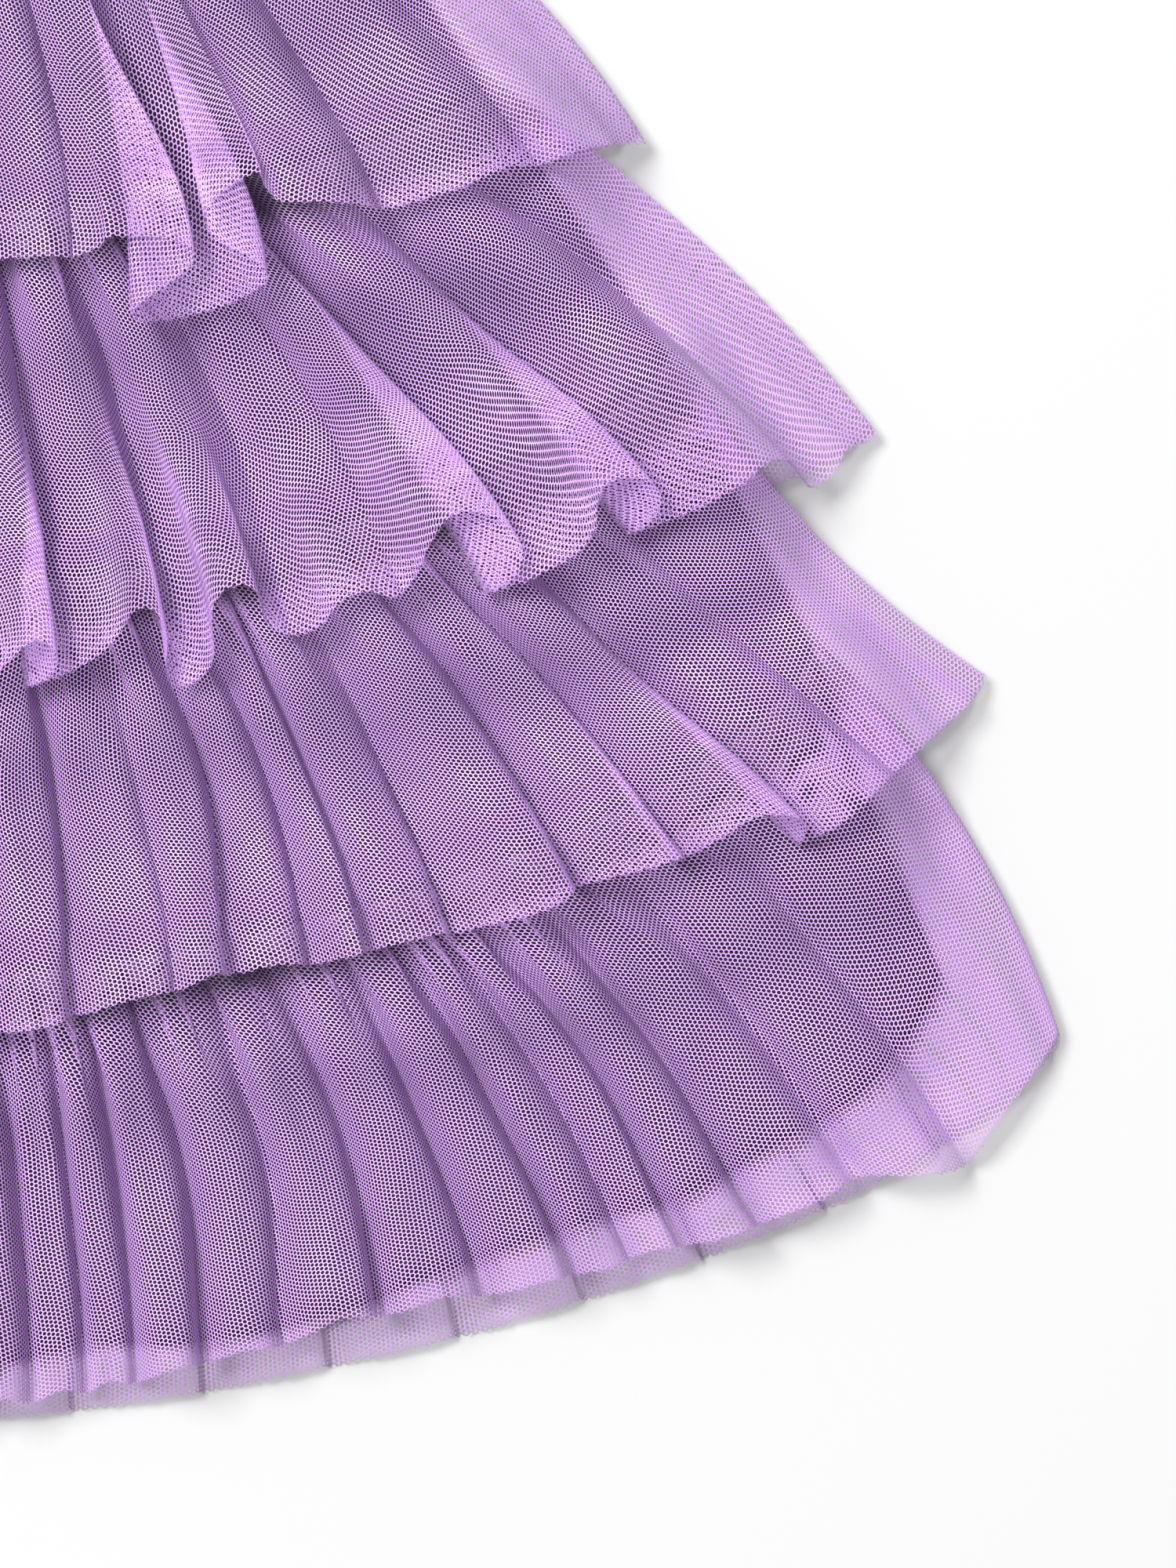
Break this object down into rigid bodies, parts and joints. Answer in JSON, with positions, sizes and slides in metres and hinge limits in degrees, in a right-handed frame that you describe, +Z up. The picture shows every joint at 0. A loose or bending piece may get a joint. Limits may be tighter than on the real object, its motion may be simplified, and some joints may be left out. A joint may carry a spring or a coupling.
{
  "type": "tiered skirt",
  "caption": "Girl's pull-on skirt of overlapping gathered net tiers with raw-cut hems, laid flat and fanned out below a narrow elastic waistband.",
  "frame": {"origin": "centre of the bounding box seen from above, on the table", "axes": "+X across the skirt to the wearer's left as the front faces up, +Y towards the waist, +Z up off the table"},
  "size_m": [0.4916, 0.3544, 0.0288],
  "materials": {
    "net": "soft lilac nylon net with small hexagonal holes, a faint sheen on its folds",
    "band": "matte lilac casing gathered over elastic"
  },
  "bodies": {
    "root": {"waistband": "band", "base_front": "net", "base_back": "net", "tier_1_front": "net", "tier_2_front": "net", "tier_3_front": "net", "tier_4_front": "net", "tier_1_back": "net", "tier_2_back": "net", "tier_3_back": "net", "tier_4_back": "net"}
  },
  "joints": []
}
